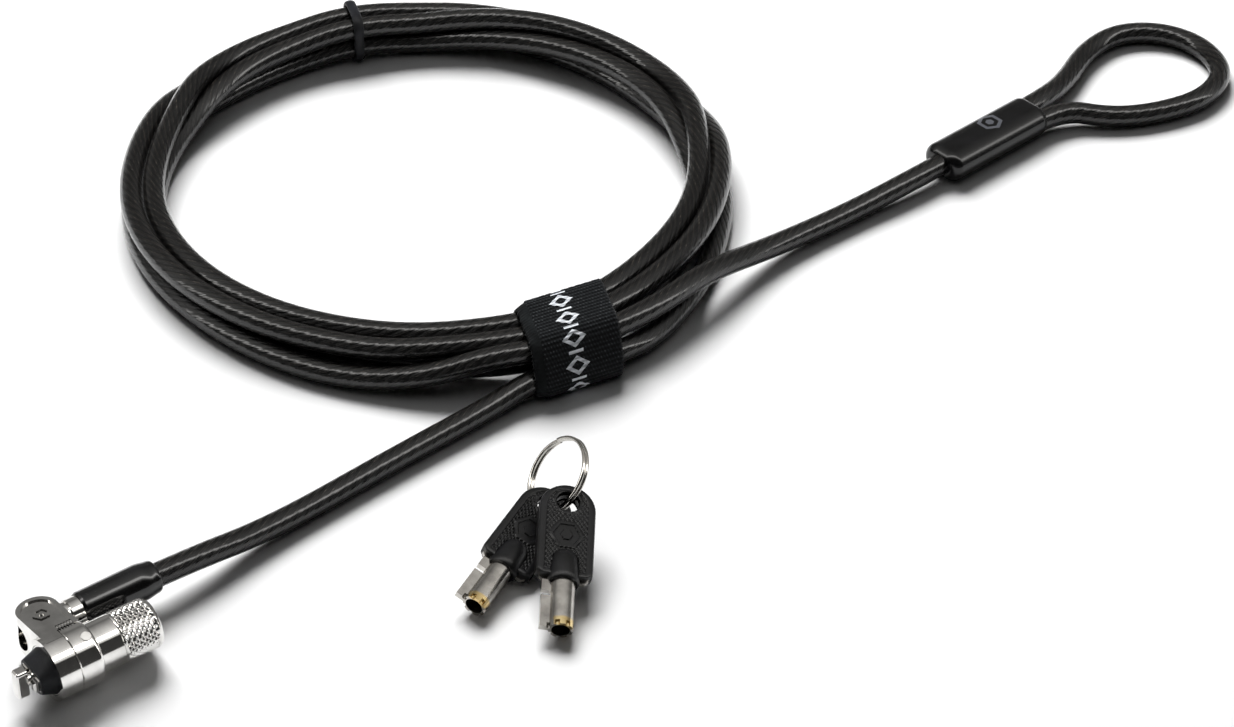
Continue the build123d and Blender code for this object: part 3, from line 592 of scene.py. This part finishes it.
# ---- materials of the CAD pieces ----------------------------------------------------------------
chrome = metal("bright_chrome", (0.62, 0.61, 0.59), (0.86, 0.85, 0.83), 0.03, 0.16)
steel = metal("turned_steel", (0.4, 0.4, 0.4), (0.62, 0.62, 0.61), 0.2, 0.4)
brass = metal("turned_brass", (0.55, 0.38, 0.16), (0.8, 0.6, 0.28), 0.18, 0.35)
aluminium = metal("swaged_aluminium", (0.55, 0.55, 0.56), (0.75, 0.75, 0.76), 0.25, 0.45)
nickel = metal("worn_nickel", (0.42, 0.4, 0.37), (0.66, 0.64, 0.6), 0.08, 0.22)
pin_head = metal("ground_pin_head", (0.7, 0.69, 0.67), (0.9, 0.89, 0.87), 0.3, 0.45)
black_gloss = plastic("moulded_vinyl", (0.003, 0.003, 0.003), (0.007, 0.007, 0.008), 0.14, 0.22,
                      900.0, 0.00002, coat=0.5, shine=0.3)
black_plastic = plastic("fine_matt_moulding", (0.003, 0.003, 0.003), (0.007, 0.007, 0.008), 0.3, 0.45,
                        2500.0, 0.00003, shine=0.35)
black_rubber = plastic("matt_rubber", (0.004, 0.0045, 0.006), (0.011, 0.012, 0.016), 0.45, 0.65,
                       2200.0, 0.00004, sheen=0.05, shine=0.25)
brushed_pile = plastic("brushed_pile", (0.003, 0.0035, 0.004), (0.014, 0.016, 0.017), 0.8, 1.0,
                       1800.0, 0.00025, sheen=0.12, shine=0.08)
smoky_cable = cable_material()

node_materials = {
    "cable_collar": chrome, "head_shell": chrome, "retaining_pin": pin_head, "slot_guide": chrome,
    "keyway_ring": chrome, "knurled_grip": chrome, "t_bar": chrome, "swivel_stud": chrome,
    "key_ring": chrome, "key_a_plate": nickel, "key_b_plate": nickel, "cable_core_end": steel,
    "swivel_washer": steel, "collar_spring_washer": steel, "driver_pins": steel, "pin_springs": steel,
    "spindle_bush": brass, "pin_block": brass, "core_housing": brass, "key_plug": brass,
    "tumbler_pins": brass, "loop_crimp": aluminium, "cable_boot": black_gloss,
    "loop_sleeve": sleeve_material(), "rubber_pad": black_rubber, "tie_ring": black_rubber,
    "key_a_head": black_plastic, "key_b_head": black_plastic,
}
for key, (tip, heading, lift, _) in KEYS.items():
    plated = key_tube_material(key + "_nickel", tip, radians(heading), radians(lift))
    node_materials[key + "_tube"] = plated
bevel_widths = {
    "cable_collar": 0.15, "head_shell": 0.12, "t_bar": 0.25, "key_a_head": 0.3, "key_b_head": 0.3,
    "key_a_tube": 0.08, "key_b_tube": 0.08, "rubber_pad": 0.25,
}
for name, material in node_materials.items():
    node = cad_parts[name]
    node.data.materials.clear()
    node.data.materials.append(material)
for name, width in bevel_widths.items():
    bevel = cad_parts[name].modifiers.new("edge", "BEVEL")
    bevel.width = width * MM
    bevel.segments = 3
    bevel.limit_method = "ANGLE"
    bevel.angle_limit = radians(40)
    bevel.harden_normals = True

# ---- the cable ----------------------------------------------------------------------------------
main_line = spline_points(LEAD_ROUTE + FIRST_TURN_ROUTE + coil_route() + TAIL_ROUTE, "main_route", 10)
main_cable, main_length = tube("cable_main", main_line, CABLE_R * MM)
loop_line = spline_points(LOOP_ROUTE, "loop_route", 12)
loop_cable, loop_length = tube("cable_end_loop", loop_line, CABLE_R * MM)
print("cable lengths", round(main_length, 4), round(loop_length, 4))

for piece in (main_cable, loop_cable):
    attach(piece, "cable")
    piece.data.materials.append(smoky_cable)
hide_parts("cable_coil", "cable_lead", "cable_tail")
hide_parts("cable_loop")


# ---- strap and tie ------------------------------------------------------------------------------
def hull_outline(circles, radius, spacing):
    """Evenly spaced points, in order, along a tight band around circles of one radius."""
    rim = []
    for x, y in circles:
        rim += [(x + radius * cos(a * pi / 60), y + radius * sin(a * pi / 60)) for a in range(120)]
    rim = sorted(set(rim))
    halves = []
    for points in (rim, rim[::-1]):
        chain = []
        for p in points:
            while len(chain) > 1:
                (ax, ay), (bx, by) = chain[-2:]
                if (bx - ax) * (p[1] - ay) - (by - ay) * (p[0] - ax) > 0:
                    break
                chain.pop()
            chain.append(p)
        halves += chain[:-1]
    halves.append(halves[0])
    steps = [hypot(q[0] - p[0], q[1] - p[1]) for p, q in zip(halves, halves[1:])]
    count = round(sum(steps) / spacing)
    outline = []
    reach, i = 0.0, 0
    for k in range(count):
        want = sum(steps) * k / count
        while reach + steps[i] < want:
            reach += steps[i]
            i += 1
        t = (want - reach) / steps[i]
        p, q = halves[i], halves[i + 1]
        outline.append((p[0] + (q[0] - p[0]) * t, p[1] + (q[1] - p[1]) * t))
    return outline


def bundle_point(angle, out, up, along, skew=0.0):
    """Point in the row frame, in metres, beside the bundle's middle at this angle."""
    along -= skew * (out + 1.5)
    a = radians(angle)
    reach = bundle_radius(angle) + out
    x = COIL_X + reach * cos(a) - along * sin(a)
    y = COIL_Y + reach * sin(a) + along * cos(a)
    return Vector((x, y, up)) * MM


def grid_mesh(name, rows, closed_columns=False, uvs=None, sharp=60):
    """Join rows of points, and the last row to the first, into a smooth mesh that can have UVs."""
    bm = bmesh.new()
    layer = bm.loops.layers.uv.new("band")
    verts = [[bm.verts.new(p) for p in row] for row in rows]
    count, width = len(rows), len(rows[0])
    for i in range(count):
        for k in range(width if closed_columns else width - 1):
            corners = [(i, k), (i + 1, k), (i + 1, k + 1), (i, k + 1)]
            face = bm.faces.new([verts[r % count][c % width] for r, c in corners])
            if uvs:
                for loop, (r, c) in zip(face.loops, corners):
                    loop[layer].uv = uvs(r, c)
    bmesh.ops.recalc_face_normals(bm, faces=bm.faces)
    return mesh_object(name, bm, sharp)


def strap_rows():
    """Rows across the woven strap, one for each step round the bundle, with ribs on the outside."""
    outside = hull_outline(STRAP_SECTION, CABLE_R + STRAP_THICKNESS, STRAP_SPACING)
    middle = (sum(p[0] for p in outside) / len(outside), sum(p[1] for p in outside) / len(outside))
    half = STRAP_WIDTH / 2
    left = -half + STRAP_RIM
    profile = [(left + 0.1, -1.45), (left, -1.1), (left, -0.45), (left + 0.35, 0.0)]
    profile += [(left + 0.35 + (STRAP_WIDTH - STRAP_RIM - 0.7) * k / 30, 0.0) for k in range(1, 31)]
    profile += [(half, -0.45), (half, -1.1), (half - 0.1, -1.45)]
    rows = []
    for i, (x, y) in enumerate(outside):
        (ax, ay), (bx, by) = outside[i - 1], outside[(i + 1) % len(outside)]
        length = hypot(bx - ax, by - ay)
        normal = ((by - ay) / length, (ax - bx) / length)
        if (x - middle[0]) * normal[0] + (y - middle[1]) * normal[1] < 0:
            normal = (-normal[0], -normal[1])
        row = []
        for k, (along, depth) in enumerate(profile):
            if depth == 0.0:
                relief = RIB_HEIGHT * sin(2 * pi * i / RIB_STEPS) + WEFT_HEIGHT * sin(2.1 * k + 1.3 * i)
            else:
                relief = EDGE_HEIGHT * sin(2.7 * i + k)
            lift = depth + relief - EDGE_HEIGHT
            up = max(y + normal[1] * lift, FLOOR_Z + 0.04)
            row.append(
                bundle_point(STRAP_ANGLE, x + normal[0] * lift, up, along + STRAP_SHIFT, STRAP_SKEW)
            )
        rows.append(row)
    return rows, profile


def strap_material():
    """Black woven tape: ribs across it, a twill of threads, and a pale chain of diamonds and bars."""
    shade = Shade("woven_strap", Roughness=0.85, Sheen_Weight=0.06, Sheen_Roughness=0.5)
    shade.shader.inputs["Specular IOR Level"].default_value = 0.08
    across = shade.node("SeparateXYZ", shade.node("UVMap", uv_map="band"))
    around = across.node.outputs[1]
    fluff = shade.noise(shade.coords(), 1500.0, 4.0, 0.7)
    slant = shade.math("MULTIPLY", around, 3.0)
    threads = shade.math("SINE", shade.math("MULTIPLY_ADD", across, 180.0, slant))
    ribs = shade.math("SINE", shade.math("MULTIPLY", around, 2 * pi / (RIB_STEPS * STRAP_SPACING)))
    weave = shade.math("MULTIPLY_ADD", threads, 0.16, shade.math("MULTIPLY_ADD", ribs, 0.2, fluff))
    cloth = shade.ramp(weave, (0.3, (0.003, 0.0035, 0.004)), (0.8, (0.016, 0.018, 0.02)),
                       (1.0, (0.09, 0.095, 0.1)))
    # the pale chain: open diamonds about 4.5 mm long with a short bar between them
    phase = shade.math("FRACT", shade.math("DIVIDE", around, PATTERN_REPEAT))
    centred = shade.math("ABSOLUTE", shade.math("SUBTRACT", phase, 0.5))
    side = shade.math("ABSOLUTE", shade.math("SUBTRACT", across, PATTERN_MIDDLE))
    rim = shade.math("ADD", shade.math("MULTIPLY", centred, 2.6), shade.math("MULTIPLY", side, 6.5))
    inside = shade.math("LESS_THAN", rim, 0.92)
    diamond = shade.math("MULTIPLY", inside, shade.math("GREATER_THAN", rim, 0.5))
    between = shade.math("GREATER_THAN", centred, 0.44)
    bar = shade.math("MULTIPLY", between, shade.math("LESS_THAN", side, 0.085))
    mark = shade.math("MULTIPLY", shade.math("MAXIMUM", diamond, bar), shade.spread(fluff, 0.7, 1.2))
    shade.set("Base Color", shade.mix(mark, cloth, (0.78, 0.81, 0.85, 1)))
    shade.bump(weave, 0.7, 0.00012)
    return shade.material


strap_grid, strap_profile = strap_rows()
strap = grid_mesh(
    "strap_webbing", strap_grid,
    uvs=lambda r, c: ((strap_profile[c][0] + STRAP_WIDTH / 2) / STRAP_WIDTH, r * STRAP_SPACING),
)
strap.data.materials.append(strap_material())

# soft pile lines the strap, and shows as a ragged rim along both of its edges
pile_rows = []
pile_outline = hull_outline(STRAP_SECTION, CABLE_R + PILE_DEPTH, PILE_SPACING)
for i, (x, y) in enumerate(pile_outline):
    ragged = 0.35 * sin(4.1 * i) + 0.25 * sin(9.7 * i + 1.0)
    start, end = -STRAP_WIDTH / 2 - 0.4 + ragged * 0.6, STRAP_WIDTH / 2 + 0.3 + ragged * 0.4
    cut = [
        (start + 0.5, -0.8), (start, -0.3), (start + 0.2, 0.35), (start + 1.6, 1.0 + 0.2 * ragged),
        (start + 2.8, 1.3), (end - 1.0, 1.0), (end, 0.5), (end - 0.2, -0.6),
    ]
    (ax, ay), (bx, by) = pile_outline[i - 1], pile_outline[(i + 1) % len(pile_outline)]
    length = hypot(bx - ax, by - ay)
    nx, ny = (by - ay) / length, (ax - bx) / length
    row = []
    for along, depth in cut:
        up = max(y + ny * depth, FLOOR_Z + 0.1)
        row.append(bundle_point(STRAP_ANGLE, x + nx * depth, up, along + STRAP_SHIFT, STRAP_SKEW))
    pile_rows.append(row)
pile = grid_mesh("strap_pile", pile_rows)
pile.data.materials.append(brushed_pile)
for piece in (strap, pile):
    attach(piece, "cable")
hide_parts("strap")

# the tie is a rubber ring of oval section, stretched over the four cables
tie_line = [bundle_point(TIE_ANGLE, x, y, 0.25 * sin(2 * pi * k / 90))
            for k, (x, y) in enumerate(hull_outline(TIE_SECTION, CABLE_R + TIE_THICKNESS / 2, 0.4))]
tie_rows = []
for k, here in enumerate(tie_line):
    ahead = (tie_line[(k + 1) % len(tie_line)] - tie_line[k - 1]).normalized()
    side = Vector((-sin(radians(TIE_ANGLE)), cos(radians(TIE_ANGLE)), 0))
    outward = side.cross(ahead).normalized()
    row = []
    for j in range(16):
        a = 2 * pi * j / 16
        row.append(here + (side * TIE_HALF_WIDTH * cos(a) + outward * TIE_HALF_THICKNESS * sin(a)) * MM)
    tie_rows.append(row)
tie = grid_mesh("tie_band", tie_rows, closed_columns=True)
tie.data.materials.append(black_rubber)
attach(tie, "cable")
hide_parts("tie_ring")


# ---- knurled grip -------------------------------------------------------------------------------
def wave(value):
    """Triangle wave from 0 at whole numbers to 1 half way between them."""
    return 1 - abs(2 * (value % 1.0) - 1)


knurl_start, knurl_end = GRIP_FRONT + 0.5, GRIP_BACK - 1.1
grip_profile = [(GRIP_FRONT, TAIL_R), (GRIP_FRONT, GRIP_R - 0.35), (GRIP_FRONT + 0.3, GRIP_R - 0.05)]
for k in range(KNURL_STEPS + 1):
    grip_profile.append((knurl_start + (knurl_end - knurl_start) * k / KNURL_STEPS, GRIP_R))
grip_profile += [
    (GRIP_BACK - 0.75, GRIP_R - 0.12), (GRIP_BACK - 0.4, GRIP_R - 0.3), (GRIP_BACK - 0.1, GRIP_R - 0.62),
    (GRIP_BACK, GRIP_R - 0.95), (GRIP_BACK, GRIP_BORE_R + 0.1), (GRIP_BACK - 0.1, GRIP_BORE_R),
    (GRIP_BACK - 0.5, GRIP_BORE_R), (GRIP_BACK - 0.5, TAIL_R),
]
start_width = 2 * pi * GRIP_R / KNURL_STARTS
grip_rows = []
for j in range(KNURL_STARTS * STEPS_PER_START):
    turn = j / (KNURL_STARTS * STEPS_PER_START)
    row = []
    for x, r in grip_profile:
        if r == GRIP_R:
            one = wave(turn * KNURL_STARTS + x / start_width)
            other = wave(turn * KNURL_STARTS - x / start_width)
            fade = min(1.0, (x - knurl_start) / KNURL_FADE, (knurl_end - x) / KNURL_FADE)
            r = GRIP_R - KNURL_DEPTH * (1 - min(1.0, KNURL_SLOPE * min(one, other))) * fade
        row.append(Vector((x, r * cos(2 * pi * turn), r * sin(2 * pi * turn))) * MM)
    grip_rows.append(row)
grip = grid_mesh("grip_knurl", grip_rows, sharp=35)
grip.data.materials.append(chrome)
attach(grip, "barrel")
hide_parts("knurled_grip")


# ---- key heads: raised border, cross-hatched field and a plain hexagon badge --------------------
def key_axes(heading, lift, roll):
    """Directions of a key: along the blade, sideways, and out of its upper face."""
    heading, lift, roll = radians(heading), radians(lift), radians(roll)
    axis = Vector((cos(heading) * cos(lift), sin(heading) * cos(lift), sin(lift)))
    level = Vector((sin(heading), -cos(heading), 0))
    side = level * cos(roll) + level.cross(axis) * sin(roll)
    return axis, side, side.cross(axis)


def head_edge(along, inset):
    """Half width of the head's outline at this place along the key, moved inwards."""
    half, corner = KEY_WIDTH / 2 - inset, HEAD_CORNER
    start, end = HEAD_START + inset, KEY_LENGTH - inset
    if along < start or along > end:
        return -1.0
    if along > end - half:
        return max(0.0, half**2 - (along - end + half) ** 2) ** 0.5
    if along < start + corner:
        return half - corner + max(0.0, corner**2 - (start + corner - along) ** 2) ** 0.5
    return half


def field_height(across, along):
    """Height of the head's cover above its flat face: border, hatching, badge and boss."""
    margin = min(head_edge(along, 0.0) - abs(across), along - HEAD_START, KEY_LENGTH - along)
    hole = hypot(across, along - KEY_HOLE) - KEY_HOLE_R
    if margin < HEAD_BORDER:
        rise, fall = min(1.0, max(0.0, margin) / 0.45), min(1.0, (HEAD_BORDER - margin) / 0.25)
        return FIELD_HEIGHT + BORDER_HEIGHT * rise * fall
    if hole < HOLE_BORDER:
        return BORDER_HEIGHT if hole > 0.15 else 0.1
    badge_along = abs(along - BADGE_ALONG)
    badge = max(abs(across) * 0.866 + badge_along * 0.5, badge_along)
    if badge < BADGE_OUTER:
        return BADGE_HEIGHT if badge > BADGE_INNER or badge < BADGE_DOT else 0.04
    one = wave((across + along * HATCH_SLANT) / HATCH_PITCH)
    other = wave((across - along * HATCH_SLANT) / HATCH_PITCH)
    return FIELD_HEIGHT + HATCH_HEIGHT * min(1.0, 1.5 * min(one, other))


def in_cover(across, along):
    """True where the cover lies: inside the head's outline, clear of the hole and of the boss."""
    if head_edge(along, COVER_INSET) < abs(across):
        return False
    if hypot(across, along - KEY_HOLE) < KEY_HOLE_R + HOLE_ROOM:
        return False
    room = min(BOSS_ROOM, BOSS_ROOM - BOSS_TAPER * (along - KEY_NECK))
    return along >= KEY_NECK + BOSS_END or abs(across) >= room


def head_cover(key, tip, heading, lift, roll, face):
    """One face of a key head's moulding, laid over the CAD head."""
    axis, side, up = key_axes(heading, lift, roll)
    bm = bmesh.new()
    columns = int(KEY_WIDTH / 2 / COVER_CELL)
    found = {}
    for i in range(int(HEAD_START / COVER_CELL), int(KEY_LENGTH / COVER_CELL) + 1):
        for j in range(-columns, columns + 1):
            across, along = j * COVER_CELL, i * COVER_CELL
            if not in_cover(across, along):
                continue
            height = KEY_THICKNESS / 2 + field_height(across, along)
            place = Vector(tip) + axis * along + side * across + up * face * height
            found[i, j] = bm.verts.new(place * MM)
    for (i, j), corner in found.items():
        others = [found.get(c) for c in ((i + 1, j), (i + 1, j + 1), (i, j + 1))]
        if None not in others:
            bm.faces.new([corner, *others])
    bmesh.ops.recalc_face_normals(bm, faces=bm.faces)
    rim = [e for e in bm.edges if e.is_boundary]
    skirt = bmesh.ops.extrude_edge_only(bm, edges=rim)["geom"]
    lower = [g for g in skirt if isinstance(g, bmesh.types.BMVert)]
    bmesh.ops.translate(bm, verts=lower, vec=-up * face * COVER_SKIRT * MM)
    cover = mesh_object(f"{key}_cover_{'top' if face > 0 else 'bottom'}", bm, 50)
    cover.data.materials.append(black_plastic)
    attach(cover, key)


def key_boss(key, tip, heading, lift, roll):
    """Round boss of the moulding, which takes the end of the tube."""
    axis, side, up = key_axes(heading, lift, roll)
    rows = []
    for k in range(48):
        outward = side * cos(2 * pi * k / 48) + up * sin(2 * pi * k / 48)
        rows.append([
            (Vector(tip) + axis * (KEY_NECK + along) + outward * r) * MM for along, r in BOSS_PROFILE
        ])
    return grid_mesh(key + "_boss", rows, sharp=50)


def key_rim(key, tip, heading, lift, roll):
    """Rounded side wall all round the moulded head."""
    axis, side, up = key_axes(heading, lift, roll)
    half, corner, start, end = KEY_WIDTH / 2, HEAD_CORNER, HEAD_START, KEY_LENGTH
    outline = []
    for centre_across, centre_along, radius, first, last, count in (
        (half - corner, start + corner, corner, -90, 0, 8),
        (0.0, end - half, half, 0, 180, 40),
        (-half + corner, start + corner, corner, 180, 270, 8),
    ):
        for k in range(count + 1):
            a = radians(first + (last - first) * k / count)
            across, along = centre_across + radius * cos(a), centre_along + radius * sin(a)
            outline.append((across, along, cos(a), sin(a)))
    rows = []
    for across, along, out_across, out_along in outline:
        # the end by the boss is nearly flat
        swell = 0.25 if out_along < -0.5 else 1.0
        row = []
        for out, thick in RIM_PROFILE:
            out = out * swell if out > 0 else out
            place = axis * (along + out_along * out) + side * (across + out_across * out) + up * thick
            row.append((Vector(tip) + place) * MM)
        rows.append(row)
    return grid_mesh(key + "_rim", rows, sharp=50)


for key, placing in KEYS.items():
    for face in (1, -1):
        head_cover(key, *placing, face)
    for piece in (key_boss(key, *placing), key_rim(key, *placing)):
        piece.data.materials.append(black_plastic)
        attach(piece, key)

# ---- split ring: two turns of wire side by side, which step across at one place -----------------
ring_normal = RING_NORMAL.normalized()
ring_level = Vector((0, 0, 1)).cross(ring_normal).normalized()
ring_rise = ring_normal.cross(ring_level)
ring_line = []
for k in range(RING_POINTS + 1):
    turn = 2 * k / RING_POINTS
    a = radians(RING_START) + 2 * pi * turn
    step = min(max((turn - RING_STEP_FROM) / RING_STEP_OVER, 0.0), 1.0)
    shift = RING_STEP * (2 * step * step * (3 - 2 * step) - 1)
    outward = (ring_level * cos(a) + ring_rise * sin(a)) * (RING_R + RING_OVAL * sin(a * 2))
    ring_line.append((RING_CENTRE + outward + ring_normal * shift) * MM)
ring, _ = tube("key_ring_wire", ring_line, RING_WIRE_R * MM, sides=14)
ring.data.materials.append(nickel)
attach(ring, "ring")
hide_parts("key_ring")
